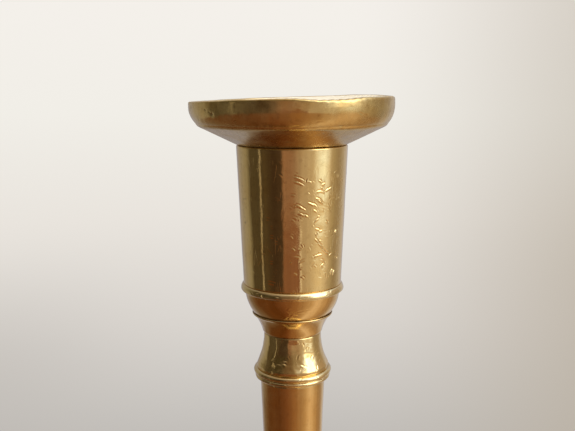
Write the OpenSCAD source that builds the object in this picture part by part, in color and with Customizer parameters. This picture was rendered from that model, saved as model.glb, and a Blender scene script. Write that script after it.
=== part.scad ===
// Turned brass candlestick for one candle: a loose drip pan, a tapered socket,
// turned knops, a slender stem and a round hollow foot, all clamped on one steel tie rod.
// Millimetres, +Z up, origin at the middle of the underside.

/* [Overall] */
// Height from the table to the rim of the drip pan
total_h = 250; // [235:1:300]
// Radial clearance of a piece that is threaded over the tie rod
rod_play = 0.2; // [0.1:0.05:0.4]

/* [Drip pan] */
// Outer radius of the pan's rim
pan_r = 25.5; // [24.8:0.1:30]
// Height of the pan from its seat on the socket to its rim
pan_h = 11.2; // [10.5:0.1:13]
// Radius at the crease between the pan's cone and its upright wall
crease_r = 23.7; // [22.5:0.1:24]
// Height of that crease above the seat
crease_h = 4.8; // [4:0.1:5.5]
// Thickness of the pan's metal
pan_wall = 1.4; // [1.2:0.1:1.8]
// How far the upright wall of the pan bows outwards
pan_bow = 0.45; // [0.1:0.05:0.8]

/* [Candle socket] */
// Radius of the candle bore
candle_r = 11.5; // [11:0.1:11.6]
// Radius of the socket's outside at its mouth
socket_top_r = 14; // [14:0.1:15]
// Radius of the socket's outside at its foot
socket_foot_r = 12.5; // [12.5:0.1:13]
// Length of the socket's outside
socket_h = 35.3; // [30:0.1:40]
// Thickness of the socket's floor
socket_floor = 3; // [3:0.1:5]
// Depth of the counterbore that takes the pan's collar
collar_depth = 12.5; // [10:0.1:14]
// Outer radius of the pan's collar
collar_r = 12.2; // [12.1:0.05:12.25]
// Wall thickness of the pan's collar
collar_wall = 0.6; // [0.5:0.05:0.6]

/* [Check rings] */
// Outer radius of the ring under the socket
socket_ring_r = 13.25; // [13:0.05:14]
// Thickness of the ring under the socket
socket_ring_h = 1.8; // [1.4:0.1:2]
// Outer radius of the ring between the bell knop and the stem
knop_ring_r = 10.1; // [9.9:0.05:11]
// Thickness of that ring, which has two beads
knop_ring_h = 2.7; // [2.4:0.1:3]
// Outer radius of the ring under the stem
stem_ring_r = 7.2; // [7:0.1:8]
// Outer radius of the ring under the lower knop
lower_ring_r = 8.7; // [8.5:0.1:10]
// Outer radius of the ring on top of the foot dome
foot_ring_r = 18.6; // [18:0.1:20]
// Thickness of the two small lower rings
small_ring_h = 1.6; // [1.4:0.1:2]

/* [Upper knops] */
// Height of the ogee cup under the socket
ogee_h = 5.9; // [5.5:0.1:8]
// Radius at the lower edge of the ogee cup
ogee_foot_r = 10.2; // [9.9:0.05:10.5]
// Height of the hollow-moulded collar under the ogee cup
neck_h = 5.4; // [5:0.1:7]
// Radius at the narrowest part of the neck
neck_r = 7.4; // [7:0.1:8]
// Height of the bell knop
bell_h = 9.5; // [8:0.1:12]
// Radius at the lower edge of the bell knop
bell_foot_r = 9.3; // [9:0.1:9.6]
// Radius of the bell knop's rounded lower edge
bell_lip_r = 0.8; // [0.5:0.1:1]

/* [Stem] */
// Radius at the top of the stem
stem_top_r = 8.4; // [8:0.05:9]
// Radius at the bottom of the stem
stem_foot_r = 4.8; // [4.6:0.1:6]
// Wall thickness of the hollow stem
stem_wall = 1.7; // [1.5:0.1:1.9]

/* [Foot] */
// Height of the lower ball knop
ball_h = 12.5; // [11:0.1:16]
// Radius of the lower ball knop
ball_r = 10.2; // [9.5:0.1:12]
// Height of the trumpet-shaped foot piece
trumpet_h = 27; // [22:0.5:32]
// Radius at the lower edge of the trumpet
trumpet_foot_r = 17.2; // [16.5:0.1:18]
// Height of the foot dome
dome_h = 15; // [13:0.5:20]
// Radius at the lower edge of the foot dome
dome_foot_r = 33; // [30:0.5:36]
// Radius of the base
base_r = 56; // [52:0.5:62]
// Height of the base's brass above the felt
base_h = 19; // [17:0.5:24]
// Thickness of the metal in the trumpet, the dome and the base
foot_wall = 2.2; // [1.8:0.1:2.6]

/* [Tie rod] */
// Radius of the tie rod
rod_r = 2.5; // [2.4:0.1:2.6]
// Pitch of the tie rod's thread
rod_pitch = 0.8; // [0.7:0.05:1]
// Distance across the flats of the nut
nut_af = 8; // [8:0.5:10]
// Thickness of the nut
nut_h = 4; // [3.5:0.5:5]
// Radius of the washer
washer_r = 9; // [8:0.5:12]
// Thickness of the washer
washer_h = 1.5; // [1:0.1:2]

/* [Underside] */
// Thickness of the felt
felt_h = 1.5; // [1:0.1:2]
// Thickness of the plate that closes the base
plate_h = 0.8; // [0.6:0.1:1.2]

/* [Hidden] */
$fn = 128;

BRASS = [0.80, 0.62, 0.30];
STEEL = [0.62, 0.63, 0.64];
FELT = [0.10, 0.22, 0.14];

// Levels, from the rim down to the stem
rim_z = total_h;
seat_z = rim_z - pan_h;
socket_foot_z = seat_z - socket_h;
ogee_top_z = socket_foot_z - socket_ring_h;
neck_top_z = ogee_top_z - ogee_h;
bell_top_z = neck_top_z - neck_h;
bell_foot_z = bell_top_z - bell_h;
stem_top_z = bell_foot_z - knop_ring_h;

// Levels, from the felt up to the stem
base_z = felt_h;
dome_z = base_z + base_h;
dome_top_z = dome_z + dome_h;
foot_ring_h = small_ring_h + 0.2;
trumpet_z = dome_top_z + foot_ring_h;
trumpet_top_z = trumpet_z + trumpet_h;
ball_z = trumpet_top_z + small_ring_h;
ball_top_z = ball_z + ball_h;
stem_z = ball_top_z + small_ring_h;

// Fits and inner sizes
hole_r = rod_r + rod_play;
boss_r = 4.5;
boss_h = 5;
boss_play = 0.1;
slip = 0.05;
blind_h = 6.4;
web = 3;
plate_r = base_r - foot_wall - 2;
lip_r = 0.5;
seam_bevel = 0.3;

// Points from p to q that bow by sag to the right of the way from p to q
function bow(p, q, sag, n = 10) =
    let (way = q - p, side = [way[1], -way[0]] / norm(way), mid = (p + q) / 2 + side * 2 * sag)
    curve(p, mid, q, n);

// Points on the smooth curve that leaves p towards m and arrives at q from m
function curve(p, m, q, n = 10) =
    [for (i = [0:n]) let (t = i / n) (1 - t) * (1 - t) * p + 2 * t * (1 - t) * m + t * t * q];

// Points that round the corner at p, between a and b, starting r before it
function soft(a, p, b, r, n = 4) =
    curve(p + (a - p) / norm(a - p) * r, p, p + (b - p) / norm(b - p) * r, n);

// Points on an arc about c
function arc(c, r, from, to, n = 10) =
    [for (i = [0:n]) let (a = from + (to - from) * i / n) c + r * [cos(a), sin(a)]];

// A solid of revolution from an outline of [radius, height] points
module turned(outline, finish = BRASS) color(finish) rotate_extrude() polygon(outline);

// A flat ring with a half-round edge
module check_ring(z, h, outer_r, inner_r) {
    edge = h / 2;
    turned(concat([[inner_r, z]], arc([outer_r - edge, z + edge], edge, -90, 90, 12), [[inner_r, z + h]]));
}

module drip_pan() {
    seat = [socket_top_r, seat_z];
    crease = [crease_r, seat_z + crease_h];
    wall_top = [pan_r, rim_z - 1.2];
    rim = [pan_r, rim_z];
    rim_in = [pan_r - pan_wall, rim_z];
    crease_in = [crease_r - 1.15, crease[1] + 1];
    floor_edge = [collar_r + pan_wall, seat_z + pan_wall];
    turned(concat(
        [[collar_r + slip, seat_z], seat - [seam_bevel, 0], seat + [0, seam_bevel / 2]],
        soft(seat, crease, wall_top, 0.7),
        bow(crease + [0.3, 0.7], wall_top, pan_bow),
        soft(wall_top, rim, rim_in, lip_r),
        soft(rim, rim_in, crease_in, lip_r),
        soft(rim_in, crease_in, floor_edge, 1.2),
        [floor_edge, [collar_r + slip, seat_z + pan_wall]]
    ));
}

module pan_collar() {
    inner_r = collar_r - collar_wall;
    lip_z = seat_z + pan_wall + slip;
    lip_h = collar_wall;
    turned(concat(
        [[inner_r, seat_z - collar_depth + 0.5], [collar_r, seat_z - collar_depth + 0.5]],
        [[collar_r, lip_z]],
        arc([collar_r + lip_h, lip_z + lip_h / 2], lip_h / 2, -90, 90, 6),
        [[inner_r + 0.2, lip_z + lip_h], [inner_r, lip_z + lip_h - 0.2]]
    ));
}

module candle_socket() {
    mouth = [socket_top_r, seat_z];
    foot = [socket_foot_r, socket_foot_z];
    turned(concat(
        [[rod_r, socket_foot_z - boss_h], [boss_r, socket_foot_z - boss_h]],
        [[boss_r, socket_foot_z], foot],
        [mouth - [0, seam_bevel], mouth - [seam_bevel, 0]],
        [[collar_r + 0.1, seat_z], [collar_r + 0.1, seat_z - collar_depth]],
        [[candle_r, seat_z - collar_depth], [candle_r, socket_foot_z + socket_floor]],
        [[0, socket_foot_z + socket_floor], [0, socket_foot_z - boss_h + blind_h]],
        [[rod_r, socket_foot_z - boss_h + blind_h]]
    ));
}

module socket_ring() check_ring(ogee_top_z, socket_ring_h, socket_ring_r, boss_r + boss_play);

module ogee_cup() {
    top = [socket_foot_r - 0.3, ogee_top_z];
    foot = [ogee_foot_r, neck_top_z + 0.25];
    recess_z = socket_foot_z - boss_h - 0.1;
    turned(concat(
        [[hole_r, neck_top_z], [ogee_foot_r - 0.4, neck_top_z]],
        bow(foot, top, 0.38),
        [[boss_r + boss_play, ogee_top_z], [boss_r + boss_play, recess_z], [hole_r, recess_z]]
    ));
}

module neck_collar() {
    fillet_r = 0.32;
    fillet = [ogee_foot_r - 0.35, neck_top_z - fillet_r];
    foot = [neck_r + 0.3, bell_top_z + 0.3];
    turned(concat(
        [[hole_r, bell_top_z], [neck_r, bell_top_z]],
        curve(foot, foot + [0.35, 2], fillet - [0.05, fillet_r]),
        arc(fillet, fillet_r, -90, 90, 6),
        [[hole_r, neck_top_z]]
    ));
}

module bell_knop() {
    top = [neck_r, bell_top_z - 0.2];
    lip = [bell_foot_r - bell_lip_r, bell_foot_z + bell_lip_r];
    foot = [bell_foot_r, lip[1] + 0.1];
    turned(concat(
        [[hole_r, bell_foot_z]],
        arc(lip, bell_lip_r, -90, 0, 6),
        curve(foot, [neck_r - 0.1, bell_top_z - 4.6], top, 14),
        [[neck_r - 0.2, bell_top_z], [hole_r, bell_top_z]]
    ));
}

// Two beads turned on one ring, the lower one thinner and a little smaller
module knop_ring() {
    upper = knop_ring_h * 0.28;
    lower = knop_ring_h / 2 - upper;
    turned(concat(
        [[hole_r, stem_top_z]],
        arc([knop_ring_r - 0.35 - lower, stem_top_z + lower], lower, -90, 65, 8),
        arc([knop_ring_r - upper, stem_top_z + 2 * lower + upper], upper, -65, 90, 10),
        [[hole_r, bell_foot_z]]
    ));
}

module stem() {
    top = [stem_top_r, stem_top_z];
    foot = [stem_foot_r, stem_z];
    bore_top_r = stem_top_r - stem_wall;
    bore_foot_r = max(stem_foot_r - stem_wall, hole_r + 0.1);
    difference() {
        turned([[hole_r, stem_z], foot, top, [hole_r, stem_top_z]]);
        turned([[0, stem_z + web], [bore_foot_r, stem_z + web],
                [bore_top_r, stem_top_z - web], [0, stem_top_z - web]]);
    }
}

module stem_foot_ring() check_ring(ball_top_z, small_ring_h, stem_ring_r, hole_r);

module ball_knop() {
    waist_r = stem_ring_r - 1.3;
    collar_h = 0.9;
    middle = [ball_r - ball_h / 2 + collar_h, ball_z + ball_h / 2];
    round_r = ball_h / 2 - collar_h;
    turned(concat(
        [[hole_r, ball_z], [waist_r + 0.6, ball_z], [waist_r + 0.6, ball_z + collar_h]],
        arc(middle, round_r, -72, 72, 16),
        [[waist_r, ball_top_z - collar_h], [waist_r, ball_top_z], [hole_r, ball_top_z]]
    ));
}

module ball_foot_ring() check_ring(trumpet_top_z, small_ring_h, lower_ring_r, hole_r);

module trumpet() {
    top = [lower_ring_r - 1.7, trumpet_top_z];
    bend = [lower_ring_r - 1.9, trumpet_z + 6];
    foot = [trumpet_foot_r, trumpet_z];
    hollow_top = [hole_r + 0.6, trumpet_top_z - web];
    hollow_foot = [trumpet_foot_r - foot_wall, trumpet_z];
    turned(concat(
        [hollow_foot, foot],
        curve(foot + [0, 0.6], bend, top, 16),
        [[hole_r, trumpet_top_z], [hole_r, trumpet_top_z - web], hollow_top],
        curve(hollow_top, bend - [foot_wall, 0.5], hollow_foot, 12)
    ));
}

module foot_ring() check_ring(dome_top_z, foot_ring_h, foot_ring_r, hole_r);

module foot_dome() {
    top = [trumpet_foot_r + 0.2, dome_top_z];
    foot = [dome_foot_r, dome_z];
    bend = [dome_foot_r - 3, dome_top_z - 0.6];
    inner_z = dome_top_z - web;
    inner_foot = [dome_foot_r - foot_wall, dome_z];
    turned(concat(
        [inner_foot, foot],
        [[dome_foot_r, dome_z + 1]],
        curve([dome_foot_r - 1, dome_z + 1.6], bend, top, 16),
        [[hole_r, dome_top_z], [hole_r, inner_z]],
        curve([trumpet_foot_r, inner_z], bend - [foot_wall, foot_wall], inner_foot, 12)
    ));
}

module base_shell() {
    step_r = dome_foot_r + 2;
    edge_h = 6;
    rim_r = base_r - 5;
    web_z = dome_z - foot_wall;
    bead = 1.1;
    turned(concat(
        [[plate_r, base_z], [base_r - 0.6, base_z]],
        soft([plate_r, base_z], [base_r, base_z], [base_r, base_z + edge_h], 0.6),
        bow([base_r, base_z + 1.2], [base_r - 1.6, base_z + edge_h], 0.35, 8),
        [[rim_r, base_z + edge_h + 0.3]],
        arc([rim_r - bead, base_z + edge_h + 0.3], bead, 0, 120, 8),
        curve([rim_r - 2.4, base_z + edge_h + 0.7], [step_r + 1, base_z + edge_h + 1],
              [step_r + 0.6, dome_z - 2 * bead], 14),
        arc([step_r, dome_z - bead], bead, -60, 90, 10),
        [[hole_r, dome_z], [hole_r, web_z], [step_r - foot_wall, web_z]],
        curve([step_r - foot_wall + 0.4, web_z - 1], [step_r - 0.6, base_z + edge_h - foot_wall + 1.2],
              [rim_r - 3, base_z + edge_h - foot_wall + 0.6], 10),
        [[plate_r - 1.2, base_z + edge_h - foot_wall], [plate_r - 1.2, base_z + plate_h],
         [plate_r, base_z + plate_h]]
    ));
}

// A V-grooved profile stands for the thread, from z0 up to z1
function thread(z0, z1, root) =
    let (turns = floor((z1 - z0) / rod_pitch))
    [for (i = [0:turns - 1], k = [0, 1])
        k == 0 ? [rod_r - 0.01, z0 + i * rod_pitch] : [root, z0 + (i + 0.5) * rod_pitch]];

module tie_rod() {
    foot_z = dome_z - foot_wall - washer_h - nut_h - 2;
    thread_h = nut_h + washer_h + 6;
    top_z = socket_foot_z - boss_h + blind_h - 0.4;
    root = rod_r - 0.55;
    shank = rod_r - 0.1;
    turned(concat(
        [[0, foot_z], [root, foot_z]],
        thread(foot_z + 0.5, foot_z + thread_h, root),
        [[shank, foot_z + thread_h], [shank, top_z - 7]],
        thread(top_z - 6.5, top_z - 0.4, root),
        [[root, top_z], [0, top_z]]
    ), STEEL);
}

module clamp_washer() {
    top = dome_z - foot_wall;
    turned([[hole_r, top - washer_h], [washer_r - 0.3, top - washer_h], [washer_r, top - washer_h + 0.3],
            [washer_r, top], [hole_r, top]], STEEL);
}

module tie_nut() {
    top = dome_z - foot_wall - washer_h;
    corner_r = nut_af / 2 / cos(30);
    color(STEEL) difference() {
        intersection() {
            translate([0, 0, top - nut_h]) cylinder(r = corner_r, h = nut_h, $fn = 6);
            turned([[0, top - nut_h], [nut_af / 2, top - nut_h], [corner_r + 0.2, top - nut_h + 0.7],
                    [corner_r + 0.2, top - 0.7], [nut_af / 2, top], [0, top]], STEEL);
        }
        translate([0, 0, top - nut_h - 1]) cylinder(r = rod_r, h = nut_h + 2);
    }
}

module bottom_plate() color(STEEL) translate([0, 0, base_z]) cylinder(r = plate_r - 0.1, h = plate_h);

module felt_pad() color(FELT) cylinder(r = base_r - 1.4, h = felt_h);

drip_pan();
pan_collar();
candle_socket();
socket_ring();
ogee_cup();
neck_collar();
bell_knop();
knop_ring();
stem();
stem_foot_ring();
ball_knop();
ball_foot_ring();
trumpet();
foot_ring();
foot_dome();
base_shell();
tie_rod();
clamp_washer();
tie_nut();
bottom_plate();
felt_pad();
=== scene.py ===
"""Looks of a turned brass candlestick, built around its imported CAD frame."""
import math

import bmesh
import bpy
import numpy as np
from mathutils import Matrix, Vector


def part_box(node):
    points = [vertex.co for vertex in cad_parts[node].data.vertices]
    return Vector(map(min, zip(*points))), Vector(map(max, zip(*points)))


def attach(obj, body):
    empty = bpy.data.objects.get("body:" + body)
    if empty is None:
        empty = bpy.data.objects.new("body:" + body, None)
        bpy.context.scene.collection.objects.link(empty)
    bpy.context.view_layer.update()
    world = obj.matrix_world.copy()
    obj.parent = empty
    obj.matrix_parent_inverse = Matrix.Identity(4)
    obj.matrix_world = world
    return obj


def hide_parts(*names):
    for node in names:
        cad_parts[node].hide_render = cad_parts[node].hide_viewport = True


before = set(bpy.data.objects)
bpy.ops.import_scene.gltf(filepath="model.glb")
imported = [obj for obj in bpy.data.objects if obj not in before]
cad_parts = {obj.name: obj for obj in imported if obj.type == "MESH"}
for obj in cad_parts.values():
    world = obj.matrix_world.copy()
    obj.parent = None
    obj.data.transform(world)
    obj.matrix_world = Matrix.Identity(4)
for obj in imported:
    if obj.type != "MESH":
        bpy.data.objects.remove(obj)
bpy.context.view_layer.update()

MM = 0.001


# ---------------------------------------------------------------- camera

def make_camera():
    """Eye level just above the drip pan's rim, close to the candlestick and looking slightly down."""
    rim_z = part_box("drip_pan")[1].z
    distance = 193.0 * MM
    above_rim = 3.3 * MM
    pitch = math.radians(9.6)
    yaw = math.radians(0.35)
    roll = math.radians(0.2)
    data = bpy.data.cameras.new("camera")
    data.sensor_width = 36.0
    data.lens = 48.2
    data.clip_start = 0.005
    camera = bpy.data.objects.new("camera", data)
    turn = (Matrix.Rotation(yaw, 4, "Z") @ Matrix.Rotation(math.pi / 2 - pitch, 4, "X")
            @ Matrix.Rotation(-roll, 4, "Z"))
    camera.matrix_world = Matrix.Translation((0, -distance, rim_z + above_rim)) @ turn
    bpy.context.scene.collection.objects.link(camera)
    bpy.context.scene.camera = camera


make_camera()


# ---------------------------------------------------------------- shader helpers

def linear(rgb):
    """A display colour of 0 to 255 as a linear one of 0 to 1."""
    return tuple((c / 255 / 12.92) if c <= 10 else ((c / 255 + 0.055) / 1.055) ** 2.4 for c in rgb)


class Tree:
    """Short calls for building a node tree."""

    def __init__(self, tree):
        self.tree = tree
        tree.nodes.clear()

    def add(self, kind, **settings):
        node = self.tree.nodes.new(kind)
        for name, value in settings.items():
            setattr(node, name, value)
        return node

    def set(self, socket, value):
        if isinstance(value, bpy.types.NodeSocket):
            self.tree.links.new(value, socket)
        elif value is not None:
            socket.default_value = value

    def math(self, operation, a, b=None, c=None, clamp=False):
        node = self.add("ShaderNodeMath", operation=operation, use_clamp=clamp)
        for socket, value in zip(node.inputs, (a, b, c)):
            self.set(socket, value)
        return node.outputs[0]

    def step(self, value, low, high):
        """0 at low, 1 at high and smooth between, whichever of the two is the larger."""
        node = self.add("ShaderNodeMapRange", interpolation_type="SMOOTHSTEP")
        self.set(node.inputs["Value"], value)
        self.set(node.inputs["From Min"], low)
        self.set(node.inputs["From Max"], high)
        return node.outputs[0]

    def spread(self, value, low, high):
        """A value of 0 to 1 spread over low to high."""
        node = self.add("ShaderNodeMapRange")
        self.set(node.inputs["Value"], value)
        self.set(node.inputs["To Min"], low)
        self.set(node.inputs["To Max"], high)
        return node.outputs[0]

    def mix(self, factor, a, b):
        node = self.add("ShaderNodeMix", data_type="RGBA")
        self.set(node.inputs[0], factor)
        self.set(node.inputs[6], a if isinstance(a, bpy.types.NodeSocket) else (*a, 1))
        self.set(node.inputs[7], b if isinstance(b, bpy.types.NodeSocket) else (*b, 1))
        return node.outputs[2]

    def ramp(self, value, stops):
        node = self.add("ShaderNodeValToRGB")
        elements = node.color_ramp.elements
        while len(elements) < len(stops):
            elements.new(1.0)
        for element, (place, colour) in zip(elements, stops):
            element.position = place
            element.color = (*colour, 1)
        self.set(node.inputs[0], value)
        return node.outputs[0]

    def noise(self, where, scale, detail=2.0, roughness=0.5, distortion=0.0):
        node = self.add("ShaderNodeTexNoise")
        self.set(node.inputs["Vector"], where)
        self.set(node.inputs["Scale"], scale)
        self.set(node.inputs["Detail"], detail)
        self.set(node.inputs["Roughness"], roughness)
        self.set(node.inputs["Distortion"], distortion)
        return node.outputs["Fac"]


# ---------------------------------------------------------------- surroundings

# The base colour of clean brass, as a linear one.
BRASS = (0.78, 0.57, 0.255)

# Colours that polished brass shows on the display when it mirrors its surroundings.
DUSK = (76, 58, 28)
OLIVE = (140, 118, 74)
PALE = (152, 130, 96)
UMBER = (88, 43, 9)
CHESTNUT = (112, 60, 22)
COPPER = (142, 96, 55)
DARK_COPPER = (126, 77, 40)
AMBER = (140, 87, 38)
HONEY = (166, 117, 61)
TAN = (162, 126, 78)
GOLD = (190, 155, 99)
BRIGHT = (214, 178, 116)
CREAM = (240, 222, 172)
GLARE = (255, 255, 255)

# How bright the window is, what share of that is overhead, and how bright the light on rough things is.
WINDOW_STRENGTH = 3.6
OVERHEAD_SHARE = 0.42
SOFT_STRENGTH = 1.8

# What it mirrors in four bands, from the table up to the ceiling, by compass bearing in degrees: 0 is
# towards the camera and 90 is to the right.
TABLE = [(-180, (158, 136, 104)), (-158, (158, 136, 102)), (-132, (112, 84, 50)), (-112, (98, 62, 28)),
         (-96, (92, 50, 16)), (-50, UMBER), (-20, CHESTNUT), (10, AMBER), (38, HONEY), (50, (186, 136, 74)),
         (62, (210, 160, 96)), (76, (210, 160, 96)), (90, (186, 136, 74)), (106, HONEY),
         (125, (152, 112, 64)), (150, (190, 161, 113)), (180, (150, 128, 96))]
ROOM = [(-180, PALE), (-112, OLIVE), (-102, (110, 90, 52)), (-98, DUSK), (-72, (72, 55, 27)),
        (-60, (74, 54, 25)), (-40, (60, 39, 17)), (-22, (68, 46, 22)), (-18, (118, 78, 42)),
        (-4, (128, 86, 48)), (8, (148, 110, 66)), (20, (168, 132, 82)), (44, GOLD), (58, BRIGHT),
        (74, BRIGHT), (84, GOLD), (96, (164, 133, 80)), (112, (148, 117, 70)), (124, (158, 130, 84)),
        (150, (182, 155, 109)), (180, PALE)]
UPPER = [(-180, PALE), (-130, OLIVE), (-110, (108, 88, 49)), (-96, DUSK), (-66, (60, 45, 17)),
         (-34, (64, 47, 19)), (-20, (98, 68, 34)), (-4, (111, 80, 42)), (22, (152, 121, 73)), (34, GOLD),
         (43, CREAM), (50, GLARE), (75, GLARE), (83, CREAM), (94, GOLD), (112, TAN), (150, (182, 155, 109)),
         (180, PALE)]
CEILING = [(-180, (160, 138, 98)), (-100, (122, 100, 62)), (-50, (134, 108, 70)), (-10, (142, 112, 70)),
           (4, TAN), (16, (218, 188, 128)), (28, (252, 236, 190)), (38, GLARE), (84, GLARE),
           (104, CREAM), (130, (206, 184, 134)), (180, (160, 138, 98))]


def lit(colour):
    """What the surroundings must be for polished brass to show that display colour."""
    if colour is GLARE:
        return tuple(c * WINDOW_STRENGTH for c in linear(colour))
    return tuple(c / b for c, b in zip(linear(colour), BRASS))


def bearing_ramp(t, bearing, stops):
    """The colour of one band at a bearing."""
    return t.ramp(t.math("MULTIPLY_ADD", bearing, 1 / 360, 0.5),
                  [((degrees + 180) / 360, lit(colour)) for degrees, colour in stops])


def hump(t, value, centre, width):
    """1 at the centre and 0 beyond width on either side of it."""
    off = t.math("ABSOLUTE", t.math("SUBTRACT", value, centre))
    return t.step(off, width, 0.0)


def mirrored_room(t, bearing, height):
    """A warm table below, a dim room ahead, a copper-coloured doorway and a window to the right.

    Bearings and heights are in degrees. A pair of them is where one thing starts and ends its fade.
    """
    table_to_room = (-25.5, -20.0)
    room_to_upper = (-4.0, 9.0)
    upper_to_ceiling = (18.0, 42.0)
    ceiling_to_overhead = (42.0, 66.0)
    line_strength = 0.9
    table = bearing_ramp(t, bearing, TABLE)
    room = bearing_ramp(t, bearing, ROOM)
    upper = bearing_ramp(t, bearing, UPPER)
    ceiling = bearing_ramp(t, bearing, CEILING)

    # The doorway is wider at its foot, and its far edge is sharper and catches the light there.
    door_near_edge = (-22.0, -17.0)
    door_foot = (-13.5, -16.5)
    door_head = (-4.0, -12.0)
    edge_above, edge_below = 3.0, 17.0
    softness_above, softness_below = 11.0, 2.0
    low_down = t.step(height, *door_foot)
    far_edge = t.math("MULTIPLY_ADD", low_down, edge_below - edge_above, edge_above)
    past_edge = t.math("SUBTRACT", bearing, far_edge)
    softness = t.math("MULTIPLY_ADD", low_down, softness_below - softness_above, softness_above)
    inside = t.math("MULTIPLY", t.step(bearing, *door_near_edge),
                    t.step(past_edge, softness, t.math("MULTIPLY", softness, -1.0)))
    door = t.mix(low_down, lit(COPPER), lit(DARK_COPPER))
    room = t.mix(t.math("MULTIPLY", inside, t.step(height, *door_head)), room, door)
    edge_line = t.math("MULTIPLY", hump(t, past_edge, 2.2, 2.6), low_down)
    room = t.mix(t.math("MULTIPLY", edge_line, line_strength), room, lit((226, 190, 128)))

    # Light from the window spills onto whatever is just below it.
    spill = t.math("MULTIPLY", hump(t, bearing, 68.0, 24.0), hump(t, height, -10.5, 5.0))
    room = t.mix(spill, room, lit((255, 236, 178)))

    both = t.mix(t.step(height, *room_to_upper), room, upper)
    # A door frame on the left shows as one thin bright line.
    frame_line = t.math("MULTIPLY", hump(t, bearing, -70.2, 1.7), t.step(height, 22.0, 8.0))
    both = t.mix(t.math("MULTIPLY", frame_line, line_strength), both, lit((205, 170, 108)))
    both = t.mix(t.step(height, *table_to_room), table, both)
    both = t.mix(t.step(height, *upper_to_ceiling), both, ceiling)
    window_overhead = tuple(OVERHEAD_SHARE * c for c in lit(GLARE))
    overhead = t.mix(hump(t, bearing, 50.0, 130.0), lit(TAN), window_overhead)
    both = t.mix(t.step(height, *ceiling_to_overhead), both, overhead)

    # Upright streaks, as of folds and posts too far away to tell apart.
    across_scale, upright_scale = 0.16, 0.012
    darkest, brightest = 0.72, 1.28
    where = t.add("ShaderNodeCombineXYZ")
    t.set(where.inputs[0], t.math("MULTIPLY", bearing, across_scale))
    t.set(where.inputs[1], t.math("MULTIPLY", height, upright_scale))
    streaks = t.noise(where.outputs[0], 1.0, 3.0, 0.6)
    scaled = t.add("ShaderNodeVectorMath", operation="SCALE")
    t.set(scaled.inputs[0], both)
    t.set(scaled.inputs["Scale"], t.spread(streaks, darkest, brightest))
    return scaled.outputs[0]


def make_world():
    """The mirrored room for reflections, a plain wall for the camera and one soft light for the rest."""
    world = bpy.data.worlds.new("studio")
    bpy.context.scene.world = world
    world.use_nodes = True
    t = Tree(world.node_tree)
    direction = t.add("ShaderNodeTexCoord").outputs["Generated"]
    split = t.add("ShaderNodeSeparateXYZ")
    t.set(split.inputs[0], direction)
    x, y, z = split.outputs
    degree = 180 / math.pi
    bearing = t.math("MULTIPLY", t.math("ARCTAN2", x, t.math("MULTIPLY", y, -1.0)), degree)
    height = t.math("MULTIPLY", t.math("ARCSINE", z), degree)

    # Behind the candlestick, the camera sees a plain pale wall. It darkens downwards, to the right and at the
    # lower left.
    wall_foot, wall_head = -30.0, 10.0
    stops = [(-30.0, (178, 175, 170)), (-24.5, (196, 192, 187)), (-17.0, (218, 213, 207)),
             (-9.5, (233, 228, 221)), (-2.0, (241, 238, 231)), (5.0, (244, 240, 234))]
    rise = t.math("DIVIDE", t.math("SUBTRACT", height, wall_foot), wall_head - wall_foot)
    wall = t.ramp(rise, [((h - wall_foot) / (wall_head - wall_foot), linear(c)) for h, c in stops])
    right_shade, right_upper_share, right_lower_share = (182, 171, 155), 0.62, 0.82
    right = t.step(x, 0.06, 0.45)
    right_share = t.spread(t.step(height, -2.0, -14.0), right_upper_share, right_lower_share)
    wall = t.mix(t.math("MULTIPLY", right, right_share), wall, linear(right_shade))
    left_shade, left_share = (182, 177, 171), 0.45
    low_left = t.math("MULTIPLY", t.step(x, -0.12, -0.42), t.step(height, -10.0, -20.0))
    wall = t.mix(t.math("MULTIPLY", low_left, left_share), wall, linear(left_shade))

    paths = t.add("ShaderNodeLightPath")
    soft = tuple(SOFT_STRENGTH * c for c in linear((236, 233, 228)))
    shown = t.mix(paths.outputs["Is Glossy Ray"], soft, mirrored_room(t, bearing, height))
    shown = t.mix(paths.outputs["Is Camera Ray"], shown, wall)
    background = t.add("ShaderNodeBackground")
    t.set(background.inputs["Color"], shown)
    out = t.add("ShaderNodeOutputWorld")
    t.set(out.inputs["Surface"], background.outputs[0])
    scene = bpy.context.scene
    scene.view_settings.view_transform = "Standard"
    scene.view_settings.look = "None"


def make_light():
    """A large soft lamp on the window's side, which shapes the felt and the shadow on the floor."""
    data = bpy.data.lights.new("window_light", "AREA")
    data.shape = "RECTANGLE"
    data.size = 0.9
    data.size_y = 1.2
    data.energy = 6.0
    data.color = (1.0, 0.97, 0.92)
    lamp = bpy.data.objects.new("window_light", data)
    place = Vector((1.1, -0.6, 1.1))
    target = Vector((0, 0, 0.1))
    lamp.location = place
    lamp.rotation_euler = (target - place).to_track_quat("-Z", "Y").to_euler()
    lamp.visible_glossy = False
    bpy.context.scene.collection.objects.link(lamp)


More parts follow.
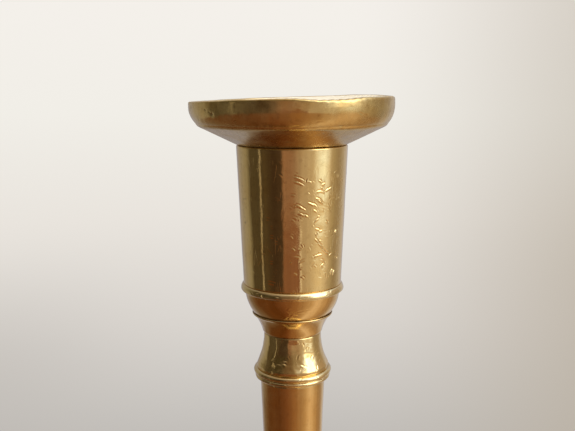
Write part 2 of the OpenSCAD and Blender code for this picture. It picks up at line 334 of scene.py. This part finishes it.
def make_floor():
    """A pale round floor that fades out before it reaches the camera's view."""
    radius = 0.34
    fade_from, fade_to = 0.45 * radius, 0.97 * radius
    sunk = 0.05 * MM
    bm = bmesh.new()
    bmesh.ops.create_circle(bm, cap_ends=True, radius=radius, segments=96)
    mesh = bpy.data.meshes.new("floor")
    bm.to_mesh(mesh)
    bm.free()
    floor = bpy.data.objects.new("floor", mesh)
    bpy.context.scene.collection.objects.link(floor)
    material = bpy.data.materials.new("floor_paint")
    material.use_nodes = True
    t = Tree(material.node_tree)
    where = t.add("ShaderNodeTexCoord").outputs["Object"]
    length = t.add("ShaderNodeVectorMath", operation="LENGTH")
    t.set(length.inputs[0], where)
    fade = t.step(length.outputs["Value"], fade_from, fade_to)
    paint = t.add("ShaderNodeBsdfDiffuse")
    paint.inputs["Color"].default_value = (0.37, 0.362, 0.348, 1)
    clear = t.add("ShaderNodeBsdfTransparent")
    both = t.add("ShaderNodeMixShader")
    t.set(both.inputs[0], fade)
    t.set(both.inputs[1], paint.outputs[0])
    t.set(both.inputs[2], clear.outputs[0])
    out = t.add("ShaderNodeOutputMaterial")
    t.set(out.inputs["Surface"], both.outputs[0])
    mesh.materials.append(material)
    floor.location.z = -sunk
    floor.visible_glossy = False


make_world()
make_light()
make_floor()


# ---------------------------------------------------------------- materials

def new_material(name):
    """A material, the tree for its nodes, and the place of a point on the piece in metres."""
    material = bpy.data.materials.new(name)
    material.use_nodes = True
    t = Tree(material.node_tree)
    return material, t, t.add("ShaderNodeTexCoord").outputs["Object"]


def finish_material(t, shader, relief, strength, depth):
    """Makes a shader the surface, with relief up to depth mm deep."""
    bump = t.add("ShaderNodeBump")
    bump.inputs["Strength"].default_value = strength
    bump.inputs["Distance"].default_value = depth * MM
    t.set(bump.inputs["Height"], relief)
    t.set(shader.inputs["Normal"], bump.outputs[0])
    out = t.add("ShaderNodeOutputMaterial")
    t.set(out.inputs["Surface"], shader.outputs[0])


def brass(name, roughness, grain, patina, tint=(1.0, 1.0, 1.0), haze=0.0):
    """Old polished brass: recess grime and painted shade, uneven shine, fine grain and hairline scratches.

    Grain is how strong the relief is, patina how much brown there is, and haze how pale its dull sides are.
    """
    material, t, where = new_material(name)
    grime_and_shade = t.add("ShaderNodeAttribute", attribute_name="grime_and_shade").outputs["Fac"]
    dull = t.add("ShaderNodeAttribute", attribute_name="dull").outputs["Fac"]
    metal = tuple(b * c for b, c in zip(BRASS, tint))
    coppery = (metal[0] * 0.97, metal[1] * 0.88, metal[2] * 0.74)
    browned = (metal[0] * 0.55, metal[1] * 0.46, metal[2] * 0.34)
    tarnish_and_shade = (0.115, 0.062, 0.022)
    whitish = (0.94, 0.90, 0.78)

    blotches = t.noise(where, 150.0, 4.0, 0.6)
    specks = t.noise(where, 900.0, 3.0, 0.6)
    colour = t.mix(t.math("MULTIPLY", t.step(blotches, 0.42, 0.68), patina), metal, coppery)
    mottle = t.noise(where, 620.0, 4.0, 0.7)
    colour = t.mix(t.math("MULTIPLY", t.step(mottle, 0.5, 0.72), 0.55 * patina), colour, browned)
    dirt_and_shade = t.math("MULTIPLY", grime_and_shade, t.spread(specks, 0.7, 1.25), clamp=True)
    spots = t.math("MULTIPLY", t.step(specks, 0.70, 0.80), 0.5 * patina)
    dirt_and_shade = t.math("MAXIMUM", dirt_and_shade, spots)
    # The grime attribute brings real grime, and also painted shade on the pan's cone and the neck's top. Both
    # darken to one brown here.
    colour = t.mix(dirt_and_shade, colour, tarnish_and_shade)
    hazed = t.math("MULTIPLY", t.math("POWER", dull, 3.0), haze)
    colour = t.mix(hazed, colour, whitish)

    wear = t.noise(where, 260.0, 5.0, 0.65)
    shine = t.spread(t.step(wear, 0.35, 0.7), roughness * 0.75, roughness * 1.45)
    shine = t.math("ADD", shine, t.math("MULTIPLY", dirt_and_shade, 0.35))
    shine = t.math("MULTIPLY_ADD", dull, 0.3, shine, clamp=True)

    # Hairlines are where a stretched noise crosses its middle value.
    half_width = 0.022
    stretch = t.add("ShaderNodeMapping")
    t.set(stretch.inputs["Vector"], where)
    stretch.inputs["Rotation"].default_value = (0.5, 0.3, 0.8)
    stretch.inputs["Scale"].default_value = (1.0, 1.0, 0.22)
    lines = t.noise(stretch.outputs[0], 700.0, 1.0, 0.4, 0.6)
    off_line = t.math("ABSOLUTE", t.math("SUBTRACT", lines, 0.5))
    hair = t.math("SUBTRACT", 1.0, t.step(off_line, 0.0, half_width))
    hair = t.math("MULTIPLY", hair, t.step(t.noise(where, 180.0, 2.0), 0.48, 0.62))
    pebble = t.noise(where, 2600.0, 3.0, 0.7)
    swell = t.noise(where, 330.0, 2.0, 0.5)
    relief = t.math("MULTIPLY_ADD", pebble, 0.35, t.math("MULTIPLY", swell, 0.5))
    relief = t.math("SUBTRACT", relief, t.math("MULTIPLY", hair, 0.5))

    shader = t.add("ShaderNodeBsdfPrincipled")
    t.set(shader.inputs["Metallic"], t.math("SUBTRACT", 1.0, hazed))
    t.set(shader.inputs["Base Color"], colour)
    t.set(shader.inputs["Roughness"], shine)
    finish_material(t, shader, relief, grain, 0.02)
    return material


def steel(name, colour, rust=0.25):
    """Plain dull steel with faint rust."""
    material, t, where = new_material(name)
    rust_brown = (0.20, 0.09, 0.04)
    cloud = t.noise(where, 140.0, 5.0, 0.65)
    fine = t.noise(where, 1500.0, 3.0, 0.6)
    shader = t.add("ShaderNodeBsdfPrincipled")
    shader.inputs["Metallic"].default_value = 1.0
    rusty = t.math("MULTIPLY", t.step(cloud, 0.5, 0.75), rust)
    t.set(shader.inputs["Base Color"], t.mix(rusty, colour, rust_brown))
    t.set(shader.inputs["Roughness"], t.spread(fine, 0.32, 0.5))
    finish_material(t, shader, fine, 0.4, 0.03)
    return material


def felt(name):
    """Green wool felt with matted fibres."""
    material, t, where = new_material(name)
    deep_green, green, worn_green = (0.022, 0.085, 0.045), (0.075, 0.19, 0.11), (0.09, 0.16, 0.08)
    fibres = t.noise(where, 1400.0, 6.0, 0.75, 1.5)
    cloud = t.noise(where, 120.0, 3.0)
    colour = t.mix(fibres, deep_green, green)
    colour = t.mix(t.math("MULTIPLY", cloud, 0.3), colour, worn_green)
    shader = t.add("ShaderNodeBsdfPrincipled")
    shader.inputs["Roughness"].default_value = 0.95
    shader.inputs["Sheen Weight"].default_value = 0.5
    shader.inputs["Sheen Roughness"].default_value = 0.6
    t.set(shader.inputs["Base Color"], colour)
    finish_material(t, shader, fibres, 0.8, 0.25)
    return material


# ---------------------------------------------------------------- turned pieces

def outline(node):
    """A turned CAD node's outline as (radius, height) points, and whether it closes on itself."""
    bm = bmesh.new()
    bm.from_mesh(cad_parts[node].data)
    bmesh.ops.remove_doubles(bm, verts=bm.verts, dist=0.002 * MM)
    # The cut is turned a little, so that it runs between the edges of the facets.
    turn = math.radians(0.7)
    cut = bmesh.ops.bisect_plane(bm, geom=bm.verts[:] + bm.edges[:] + bm.faces[:], dist=0.0001 * MM,
                                 plane_co=(0, 0, 0), plane_no=(math.sin(turn), math.cos(turn), 0))
    near_axis = 0.001 * MM
    links = {}
    for edge in cut["geom_cut"]:
        if isinstance(edge, bmesh.types.BMEdge) and max(v.co.x for v in edge.verts) > near_axis:
            for v in edge.verts:
                links.setdefault(v, []).append(edge.other_vert(v))
    ends = [v for v, others in links.items() if len(others) == 1]
    walk = [ends[0] if ends else next(iter(links))]
    while True:
        onward = [v for v in links[walk[-1]] if v not in walk[-2:] and v is not walk[0]]
        if not onward:
            break
        walk.append(onward[0])
    points = np.array([(math.hypot(v.co.x, v.co.y), v.co.z) for v in walk])
    bm.free()
    if ends:
        points[[0, -1], 0] = 0.0
    return tidy(points, not ends), not ends


def tidy(points, closed):
    """Drops the points that lie on the straight line between their neighbours."""
    tolerance = 0.012 * MM
    kept = list(points)
    dropped = True
    while dropped:
        dropped = False
        for i in range(0 if closed else 1, len(kept) - (0 if closed else 1)):
            a, p, b = kept[i - 1], kept[i], kept[(i + 1) % len(kept)]
            way = b - a
            off = abs(way[0] * (p - a)[1] - way[1] * (p - a)[0]) / max(np.hypot(*way), 1e-9)
            if off < tolerance:
                del kept[i]
                dropped = True
                break
    return np.array(kept)


def soften(points, closed, reach):
    """Cuts every corner twice, never further than reach from it at first, and then a third of that."""
    for _ in range(2):
        new = []
        for i, p in enumerate(points):
            if not closed and i in (0, len(points) - 1):
                new.append(p)
                continue
            for q in (points[i - 1], points[(i + 1) % len(points)]):
                length = np.hypot(*(q - p))
                new.append(p + (q - p) * min(0.25, reach / length))
        points, reach = np.array(new), reach / 3
    return points


def divide(points, closed, step, fine):
    """Adds points so that none is further than step from the next, or six steps where fine says no."""
    coarse = 6 * step
    new = []
    for i, p in enumerate(points):
        new.append(p)
        if closed or i < len(points) - 1:
            q = points[(i + 1) % len(points)]
            gap = step if fine((p + q) / 2) else coarse
            count = int(math.ceil(np.hypot(*(q - p)) / gap))
            new += [p + (q - p) * k / count for k in range(1, count)]
    return np.array(new)


def outward(points, closed):
    """Unit normals of the outline, pointing out of the metal."""
    before, after = np.roll(points, 1, 0), np.roll(points, -1, 0)
    if not closed:
        before[0], after[-1] = points[0], points[-1]
    way = after - before
    way /= np.maximum(np.hypot(way[:, 0], way[:, 1]), 1e-12)[:, None]
    loop = points if closed else np.vstack([points, points[:1]])
    area = np.sum(loop[:, 0] * np.roll(loop[:, 1], -1) - np.roll(loop[:, 0], -1) * loop[:, 1])
    return np.stack([way[:, 1], -way[:, 0]], 1) * (1 if area > 0 else -1)


def even(columns):
    """Bearings spaced evenly all round."""
    return np.arange(columns) * 2 * math.pi / columns


def lathe_faces(rings, columns, closed):
    """Faces between rings of vertices. Without closed, fans end them at two poles that follow the rings."""
    faces = []
    for i in range(rings if closed else rings - 1):
        j = (i + 1) % rings
        for k in range(columns):
            m = (k + 1) % columns
            faces.append((i * columns + k, i * columns + m, j * columns + m, j * columns + k))
    if not closed:
        first_pole = rings * columns
        last_ring = first_pole - columns
        faces += [((k + 1) % columns, k, first_pole) for k in range(columns)]
        faces += [(last_ring + k, last_ring + (k + 1) % columns, first_pole + 1) for k in range(columns)]
    return faces


def turned(name, node, material, angles, step, reach=0.12, hidden_r=0.0, shape=None, wear=(),
           grime_and_shade=None, dull=None):
    """A turned piece made anew from its CAD outline, with soft edges and room for wear.

    Angles are bearings about the axis: 0 faces the camera and a quarter turn is the right-hand side. The
    outline's points are step mm apart, or more within hidden_r mm of the axis. Shape, each mark of wear,
    the grime, which holds painted shade on some pieces, and dull are functions of a point's radius and
    height in mm, its bearing, and its normal's parts along the radius and the height.
    """
    points, closed = outline(node)
    points = soften(points, closed, reach * MM)
    points = divide(points, closed, step * MM, lambda p: p[0] > hidden_r * MM)
    normals = outward(points, closed)
    rows, columns = len(points), len(angles)
    r, a = np.meshgrid(points[:, 0], angles, indexing="ij")
    z = np.repeat(points[:, 1:], columns, 1)
    nr, nz = (np.repeat(normals[:, k:k + 1], columns, 1) for k in (0, 1))
    r, z = r / MM, z / MM
    dirt_and_shade = np.zeros_like(r) if grime_and_shade is None else grime_and_shade(r, z, a, nr, nz)
    matt = np.zeros_like(r) if dull is None else dull(r, z, a, nr, nz)
    if shape is not None:
        r, z = shape(r, z, a, nr, nz)
    lift = np.zeros_like(r)
    for mark in wear:
        more, stain = mark(r, z, a, nr, nz)
        lift = lift + more
        dirt_and_shade = np.maximum(dirt_and_shade, stain)
    r, z = np.maximum(r + lift * nr, 0.0) * MM, (z + lift * nz) * MM
    co = np.stack([r * np.sin(a), -r * np.cos(a), z], -1)

    first, last = (0, rows) if closed else (1, rows - 1)
    verts = co[first:last].reshape(-1, 3)
    values = {"grime_and_shade": dirt_and_shade[first:last].reshape(-1), "dull": matt[first:last].reshape(-1)}
    faces = lathe_faces(last - first, columns, closed)
    if not closed:
        verts = np.vstack([verts, [co[0, 0], co[-1, 0]]])
        values = {key: np.append(value, [0.0, 0.0]) for key, value in values.items()}
    mesh = bpy.data.meshes.new(name)
    mesh.from_pydata(verts.tolist(), [], faces)
    bm = bmesh.new()
    bm.from_mesh(mesh)
    if bm.calc_volume(signed=True) < 0:
        bmesh.ops.reverse_faces(bm, faces=bm.faces)
    bm.to_mesh(mesh)
    bm.free()
    for key, value in values.items():
        attribute = mesh.attributes.new(key, "FLOAT", "POINT")
        attribute.data.foreach_set("value", np.clip(value, 0, 1).astype(np.float32))
    mesh.polygons.foreach_set("use_smooth", [True] * len(mesh.polygons))
    mesh.materials.append(material)
    piece = bpy.data.objects.new(name, mesh)
    bpy.context.scene.collection.objects.link(piece)
    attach(piece, "pan" if node in ("drip_pan", "pan_collar") else "candlestick")
    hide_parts(node)
    return piece


# ---------------------------------------------------------------- wear

def smooth(value, low, high):
    """0 below low, 1 above high and smooth between."""
    t = np.clip((value - low) / (high - low), 0.0, 1.0)
    return t * t * (3 - 2 * t)


def bell_curve(offset, width):
    """1 at no offset, about a third at width and nearly 0 at twice that."""
    return np.exp(-(offset / width) ** 2)


def around(a, bearing):
    """The signed angle from a bearing in degrees, within half a turn."""
    return (a - math.radians(bearing) + math.pi) % (2 * math.pi) - math.pi


def seams(node, reach=0.22, low=0.6, high=0.6):
    """Grime that gathers where a piece meets the next one below and above it."""
    bottom, top = (corner.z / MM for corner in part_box(node))

    def grime_and_shade(r, z, a, nr, nz):
        patchy = 0.75 + 0.25 * np.sin(3 * a + 0.7) * np.sin(7 * a + z)
        return patchy * (low * bell_curve(z - bottom, reach) + high * bell_curve(top - z, reach))
    return grime_and_shade


def swells(size, height, seed):
    """Gentle unevenness that polishing leaves, about size mm across and height mm high."""
    waves = 14
    rng = np.random.default_rng(seed)
    pitch = rng.uniform(0.6, 1.6, waves) * 2 * math.pi / size
    slant = rng.uniform(0, math.pi, waves)
    phase = rng.uniform(0, 2 * math.pi, waves)

    def lift(r, z, a, nr, nz):
        mean_r = max(float(r.max()), 1.0)
        total = np.zeros_like(r)
        for k in range(waves):
            turns = round(pitch[k] * math.cos(slant[k]) * mean_r)
            total += np.sin(turns * a + pitch[k] * math.sin(slant[k]) * z + phase[k])
        return total * height / math.sqrt(waves), 0.0 * r
    return lift


def gouges(marks, width=0.15):
    """Short bent dents with raised lips.

    Each mark is its bearing, height, length, slant and depth, in degrees and mm.
    """
    bend = 0.25

    def lift(r, z, a, nr, nz):
        total = np.zeros_like(r)
        for bearing, height, length, slant, depth in marks:
            u, v = around(a, bearing) * r, z - height
            near = (np.abs(u) < length + 1) & (np.abs(v) < length + 1) & (nr > 0.2)
            c, s = math.cos(math.radians(slant)), math.sin(math.radians(slant))
            along = u[near] * c + v[near] * s
            across = v[near] * c - u[near] * s + bend * along ** 2 / length
            groove = bell_curve(across, width)
            upper = bell_curve(across - 1.8 * width, width)
            lower = bell_curve(across + 2.2 * width, 1.5 * width)
            total[near] += depth * np.exp(-(2 * along / length) ** 4) * (0.2 * upper + 0.75 * lower - groove)
        return total, 0.0 * r
    return lift


def pits(marks, dark=1.0):
    """Round pits, which are dark unless told otherwise: the bearing, height, radius and depth of each."""
    def lift(r, z, a, nr, nz):
        total, stain = np.zeros_like(r), np.zeros_like(r)
        for bearing, height, radius, depth in marks:
            off = ((around(a, bearing) * r) ** 2 + (z - height) ** 2) / radius ** 2
            bowl = np.exp(-off) * (nr > 0.2)
            total -= depth * bowl
            stain = np.maximum(stain, dark * bowl)
        return total, stain
    return lift


def nicks(node, count, seed, depth):
    """Small dents scattered over a piece, about depth mm deep."""
    shortest, longest = 0.5, 1.3
    clear = 0.2
    bottom, top = (corner.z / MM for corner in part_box(node))
    rng = np.random.default_rng(seed)
    return gouges([(rng.uniform(-180, 180), rng.uniform(bottom + clear, top - clear),
                    rng.uniform(shortest, longest), rng.normal(0, 45), depth * rng.uniform(0.4, 1.2))
                   for _ in range(count)])


# ---------------------------------------------------------------- drip pan

RIM_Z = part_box("drip_pan")[1].z / MM


def below_rim(marks):
    """Marks given by their depth below the pan's rim, as marks given by height."""
    return [(bearing, RIM_Z - drop, *rest) for bearing, drop, *rest in marks]


def inner_side(r, z, a, nr, nz):
    """Dullness of the surfaces that face the axis or look up, most of all at the back on the right."""
    cloudy = 0.6 + 0.4 * smooth(np.cos(around(a, 140)), 0.3, 0.8)
    return np.maximum(cloudy * smooth(-nr, 0.3, 0.8), 0.5 * smooth(nz, 0.3, 0.8))


def stains_and_underside_shade(r, z, a, nr, nz):
    """Brown clouds on the right of the wall, painted shade all over the downward-facing cone, and grime
    most of all against the socket.
    """
    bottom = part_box("drip_pan")[0].z / MM
    seam_reach = 0.15
    clouds = 0.6 + 0.4 * np.sin(9 * a + 1.3 * z) * np.sin(17 * a - 0.9 * z)
    wall = (0.05 + 0.2 * smooth(np.sin(a), 0.1, 0.5) * clouds) * smooth(nr, 0.3, 0.6)
    # The cone's share is painted shade: it darkens every surface that faces downwards.
    return np.maximum(wall, 0.3 * smooth(-nz, 0.45, 0.8)) + 0.4 * bell_curve(z - bottom, seam_reach)


def bent_rim(r, z, a, nr, nz):
    """The rim leans up to the right, with a battered dent at the front, and fades to true at the crease.

    The last 0.7 mm of its height also turns in a little on the right.
    """
    bottom, top = (corner.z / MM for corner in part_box("drip_pan"))
    crease = bottom + 0.42 * (top - bottom)
    lean = 0.2 + 0.58 * np.sin(a) + 0.2 * np.cos(a) + 0.19 * np.cos(2 * a)
    dent = 0.55 * bell_curve(around(a, 21), math.radians(17))
    raised = 0.35 * bell_curve(around(a, 125), math.radians(25))
    share = smooth(z, crease, top)
    battered = 0.1 * np.sin(29 * a + 0.5) * np.sin(47 * a) * bell_curve(around(a, 22), math.radians(22))
    out = 0.1 * np.sin(3 * a + 0.8) + 0.06 * np.sin(5 * a + 2.0)
    roll_height = 0.7
    roll = 0.16 * smooth(np.sin(a), -0.1, 0.2)
    turned_in = roll * (np.maximum(z - (top - roll_height), 0) / roll_height) ** 2
    return r + out * share - turned_in, z + (lean - dent + raised) * share + battered * share ** 4


def inner_wall(r, z, a, nr, nz):
    """Some dullness on the surfaces that face the axis."""
    return 0.6 * smooth(-nr, 0.3, 0.8)


def make_pan():
    dull_brass = brass("brass_drip_pan", roughness=0.17, grain=0.6, patina=0.85, tint=(0.94, 0.95, 0.9),
                       haze=0.95)
    wall_pits = below_rim([(-70, 1.8, 0.28, 0.12), (-46, 3.1, 0.3, 0.14), (-48, 2.7, 0.2, 0.1),
                           (-51.5, 2.2, 0.22, 0.1), (-61, 4.4, 0.16, 0.07), (-31, 4.6, 0.14, 0.05),
                           (24, 7.6, 0.13, 0.05), (31, 9.4, 0.12, 0.05), (140, 2.4, 0.25, 0.1),
                           (-150, 3.1, 0.22, 0.1)])
    scratches = gouges(below_rim([(-36, 3.2, 4.6, -62, 0.03), (-23, 2.6, 1.6, -50, 0.04),
                                  (3, 1.3, 0.7, 10, 0.05), (27, 5.7, 1.0, 8, 0.06),
                                  (31, 5.9, 0.6, -20, 0.05), (14, 4.4, 1.4, 4, 0.03),
                                  (-160, 3.0, 3.0, 30, 0.04), (110, 2.2, 2.4, -40, 0.04)]))
    turned("drip_pan_dish", "drip_pan", dull_brass, even(480), 0.34, reach=0.2, shape=bent_rim,
           wear=(swells(9, 0.035, 11), swells(2.6, 0.009, 12), pits(wall_pits), scratches,
                 nicks("drip_pan", 40, 13, 0.03)),
           grime_and_shade=stains_and_underside_shade, dull=inner_side)
    turned("drip_pan_collar", "pan_collar", dull_brass, even(256), 0.8,
           grime_and_shade=seams("pan_collar"), dull=inner_wall)


# ---------------------------------------------------------------- candle socket

def packed_angles(*stretches):
    """Bearings that lie closer together where there is more to see: from, to and spacing of each stretch."""
    return np.radians(np.concatenate([np.linspace(low, high, round((high - low) / gap), endpoint=False)
                                      for low, high, gap in stretches]))


def socket_dents():
    """Years of knocks on the socket's right front: loops, chains and fans of short bright dents."""
    marks = [(8, 18.1, 2.6, -22, 0.08), (8, 19.2, 2.6, -24, 0.08), (14, 18.7, 0.9, 70, 0.07),
             (18, 18.9, 1.0, -15, 0.05), (30, 18.9, 0.8, -35, 0.08), (33, 19.6, 0.8, 20, 0.07),
             (49, 17.0, 0.9, 10, 0.07), (54, 18.2, 0.9, -75, 0.06), (28, 21.3, 1.1, 12, 0.1),
             (33, 21.5, 1.2, -25, 0.1), (38, 21.1, 1.0, 25, 0.1), (32, 20.5, 0.6, -30, 0.08),
             (42, 20.8, 0.8, 15, 0.08), (29, 23.3, 1.9, -30, 0.09), (31, 23.9, 1.8, -32, 0.08),
             (20, 24.2, 1.7, -28, 0.09), (24, 24.5, 1.5, -34, 0.08), (8, 24.7, 1.6, -26, 0.07),
             (12, 25.3, 1.5, -30, 0.07), (10, 26.6, 1.6, -22, 0.08), (15, 27.0, 1.2, -28, 0.07),
             (25, 26.0, 1.2, -35, 0.06), (25, 28.3, 1.3, 38, 0.1), (40, 29.0, 0.8, -35, 0.08),
             (28, 30.5, 1.1, -20, 0.1), (31, 31.0, 0.7, 20, 0.09), (27, 31.9, 0.8, -60, 0.08),
             (53, 31.8, 0.7, 60, 0.11), (28, 33.4, 1.7, -48, 0.07), (33, 34.8, 2.0, -52, 0.07),
             (38, 36.2, 1.6, -45, 0.08), (30, 36.9, 1.4, 8, 0.12), (26, 37.1, 1.0, 28, 0.1),
             (41, 36.7, 0.9, -30, 0.1), (46, 37.3, 0.9, 15, 0.09), (37, 38.6, 1.2, -40, 0.09),
             (34, 39.6, 1.0, 40, 0.08), (59, 38.6, 0.9, 25, 0.11), (57, 37.0, 0.6, -40, 0.08),
             (48, 41.8, 1.4, 62, 0.1), (52, 42.2, 1.3, 66, 0.1), (51, 41.3, 0.6, -10, 0.08),
             (2, 35.2, 0.8, -35, 0.07), (-2, 38.5, 0.5, 20, 0.05), (-26, 28.0, 1.3, -8, 0.04),
             (-22, 30.0, 1.0, 10, 0.03), (-22, 32.3, 1.1, -5, 0.04), (-17, 33.7, 0.9, -12, 0.04),
             (-26, 17.4, 0.6, 20, 0.03), (-23, 38.7, 0.6, 0, 0.05), (-24, 43.8, 1.4, -8, 0.05)]
    rng = np.random.default_rng(21)
    for _ in range(70):
        marks.append((rng.uniform(0, 62), rng.uniform(17, 43), rng.uniform(0.4, 1.0), rng.normal(-28, 25),
                      rng.uniform(0.015, 0.045)))
    for _ in range(40):
        marks.append((rng.uniform(56, 64), rng.uniform(15, 44), rng.uniform(0.3, 0.6), rng.uniform(-90, 90),
                      rng.uniform(0.03, 0.06)))
    for _ in range(90):
        marks.append((rng.uniform(-180, 180), rng.uniform(13, 45), rng.uniform(0.4, 1.6), rng.normal(-10, 35),
                      rng.uniform(0.01, 0.035)))
    deeper, narrow = 1.35, 0.12
    return gouges([(b, h, length, slant, deeper * depth) for b, h, length, slant, depth in below_rim(marks)],
                  width=narrow)


def socket_inside(r, z, a, nr, nz):
    """Full dullness on the surfaces that face the axis."""
    return smooth(-nr, 0.2, 0.8)


def make_socket():
    bright_brass = brass("brass_socket", roughness=0.055, grain=1.2, patina=0.5)
    angles = packed_angles((-75, -5, 1.0), (-5, 66, 0.42), (66, 285, 4.4))
    dark_pits = below_rim([(-62, 24.2, 0.2, 0.06), (-58, 24.0, 0.14, 0.05), (-64, 25.0, 0.14, 0.05),
                           (-61, 28.6, 0.15, 0.05), (-61, 30.0, 0.22, 0.07), (-66, 17.4, 0.14, 0.04),
                           (-64, 21.0, 0.13, 0.04), (35, 40.6, 0.12, 0.05), (130, 25.0, 0.2, 0.06)])
    knocks = below_rim([(37, 39.2, 1.5, 0.07), (29, 37.6, 1.1, 0.05), (46, 37.4, 0.9, 0.05),
                        (33, 21.6, 1.3, 0.04), (26, 27.6, 1.2, 0.04), (29, 31.2, 1.0, 0.05),
                        (12, 25.6, 1.8, 0.04), (-140, 30.0, 1.6, 0.05)])
    turned("candle_socket_tube", "candle_socket", bright_brass, angles, 0.155, hidden_r=12.4,
           wear=(swells(11, 0.012, 22), swells(3.2, 0.003, 23), pits(dark_pits), pits(knocks, 0.0),
                 socket_dents()),
           grime_and_shade=seams("candle_socket", reach=0.12, high=0.4), dull=socket_inside)


# ---------------------------------------------------------------- rings and knops

def lipped(node, out, reach):
    """A slight roll on a piece's top edge, which catches the light."""
    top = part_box(node)[1].z / MM

    def shape(r, z, a, nr, nz):
        return r + out * bell_curve(z - top, reach) * (nr > 0.05), z
    return shape


def square_foot(node, height, radius):
    """A rounded lower edge drawn out until it nearly meets the piece below."""
    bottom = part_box(node)[0].z / MM
    fade = 0.6 * height
    most = 0.8

    def shape(r, z, a, nr, nz):
        share = most * smooth(bottom + height - z, 0.0, fade) * smooth(nr, 0.0, 0.1)
        return r + share * np.maximum(radius - r, 0.0), z
    return shape


def leaning(node, fall):
    """A bead pulled halfway to a side that leans outwards down to a tight lower edge."""
    bottom, top = (corner.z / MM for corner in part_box(node))
    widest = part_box(node)[1].x / MM
    edge = 0.22
    tuck = 0.45

    def shape(r, z, a, nr, nz):
        rise = (z - bottom) / (top - bottom)
        side = widest - fall * (rise - edge) - tuck * np.maximum(1 - rise / edge, 0) ** 2
        return r + 0.5 * smooth(nr, 0.0, 0.15) * (side - r), z
    return shape


def make_rings():
    ring_brass = brass("brass_rings", roughness=0.09, grain=0.5, patina=0.2, tint=(1.0, 1.05, 1.16))
    lean = leaning("socket_ring", 0.85)
    outer_part = 3
    for name, node, shape, count, seed in (("bead_under_socket", "socket_ring", lean, 40, 31),
                                           ("double_bead_on_stem", "knop_ring", None, 50, 32),
                                           ("bead_under_stem", "stem_foot_ring", None, 20, 33),
                                           ("bead_under_ball", "ball_foot_ring", None, 20, 34),
                                           ("bead_on_dome", "foot_ring", None, 40, 35)):
        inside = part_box(node)[1].x / MM - outer_part
        turned(name, node, ring_brass, even(320), 0.13, hidden_r=inside, shape=shape,
               wear=(swells(4, 0.012, seed), nicks(node, count, seed, 0.045)),
               grime_and_shade=seams(node, reach=0.08, low=0.4, high=0.1))


def make_knops():
    knop_brass = brass("brass_knops", roughness=0.09, grain=0.5, patina=0.3)
    lip_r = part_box("neck_collar")[1].x / MM
    cup_marks = gouges(below_rim([(2, 51.6, 2.6, -10, 0.06), (10, 51.2, 1.4, 6, 0.05),
                                  (-6, 50.4, 1.0, 45, 0.05), (-6, 53.2, 0.6, 60, 0.06)]))
    turned("cup_moulding", "ogee_cup", knop_brass, even(320), 0.16, hidden_r=6,
           shape=square_foot("ogee_cup", 0.4, lip_r),
           wear=(swells(6, 0.02, 41), nicks("ogee_cup", 30, 42, 0.035), cup_marks),
           grime_and_shade=seams("ogee_cup", reach=0.12, low=0.25, high=0.5))
    # The neck's upward-facing top, under the cup, gets painted shade as well as the grime at its foot.
    neck_foot = seams("neck_collar", reach=0.15, low=0.6, high=0.0)
    turned("neck_moulding", "neck_collar", knop_brass, even(320), 0.16, reach=0.2, hidden_r=5,
           shape=lipped("neck_collar", 0.28, 0.45),
           wear=(swells(5, 0.014, 43), nicks("neck_collar", 16, 44, 0.03)),
           grime_and_shade=lambda r, z, a, nr, nz: neck_foot(r, z, a, nr, nz) + smooth(nz, 0.75, 0.95))
    bell_marks = gouges(below_rim([(-14, 65.2, 0.8, 20, 0.08), (-13, 65.9, 0.8, -15, 0.08),
                                   (9, 64.3, 1.2, 75, 0.06), (27, 62.4, 1.1, 55, 0.09),
                                   (22, 61.2, 0.9, -65, 0.08), (36, 65.0, 1.2, 60, 0.07),
                                   (44, 67.4, 0.8, 70, 0.09), (16, 67.0, 1.4, 40, 0.06)]))
    turned("bell_moulding", "bell_knop", knop_brass, even(320), 0.16, hidden_r=5,
           shape=square_foot("bell_knop", 0.9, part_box("bell_knop")[1].x / MM),
           wear=(swells(5, 0.03, 45), swells(1.8, 0.006, 46), nicks("bell_knop", 26, 47, 0.04), bell_marks),
           grime_and_shade=seams("bell_knop", low=0.0, high=0.5))
    turned("ball_moulding", "ball_knop", knop_brass, even(320), 0.2, hidden_r=5,
           wear=(swells(5, 0.02, 48), nicks("ball_knop", 40, 49, 0.035)), grime_and_shade=seams("ball_knop"))


# ---------------------------------------------------------------- stem and foot

def make_stem_and_foot():
    stem_brass = brass("brass_stem", roughness=0.11, grain=0.45, patina=0.45)
    foot_brass = brass("brass_foot", roughness=0.1, grain=0.5, patina=0.35)
    turned("tapered_stem", "stem", stem_brass, even(288), 0.7, reach=0.1, hidden_r=4,
           wear=(swells(14, 0.02, 51), nicks("stem", 60, 52, 0.02)), grime_and_shade=seams("stem"))
    turned("trumpet_shaft", "trumpet", stem_brass, even(320), 0.5,
           wear=(swells(9, 0.025, 53), nicks("trumpet", 50, 54, 0.035)), grime_and_shade=seams("trumpet"))
    turned("stepped_dome", "foot_dome", foot_brass, even(360), 0.6,
           wear=(swells(10, 0.03, 55), nicks("foot_dome", 70, 56, 0.04)),
           grime_and_shade=seams("foot_dome", reach=0.35))
    turned("round_foot", "base_shell", foot_brass, even(280), 1.1,
           wear=(swells(14, 0.04, 57), nicks("base_shell", 110, 58, 0.05)),
           grime_and_shade=seams("base_shell", reach=0.35))


# ---------------------------------------------------------------- underside

def give(node, material):
    """A new finish for a CAD piece that keeps its own shape."""
    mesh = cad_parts[node].data
    mesh.materials.clear()
    mesh.materials.append(material)


def make_underside():
    steel_rod = steel("steel_rod", (0.46, 0.45, 0.43))
    steel_plate = steel("steel_plate", (0.40, 0.39, 0.37), rust=0.4)
    for node in ("tie_rod", "clamp_washer", "tie_nut"):
        give(node, steel_rod)
    give("bottom_plate", steel_plate)
    disc = turned("felt_disc", "felt_pad", felt("green_felt"), even(400), 0.5, reach=0.5,
                  wear=(swells(7, 0.05, 61), swells(1.6, 0.02, 62)))


make_pan()
make_socket()
make_rings()
make_knops()
make_stem_and_foot()
make_underside()
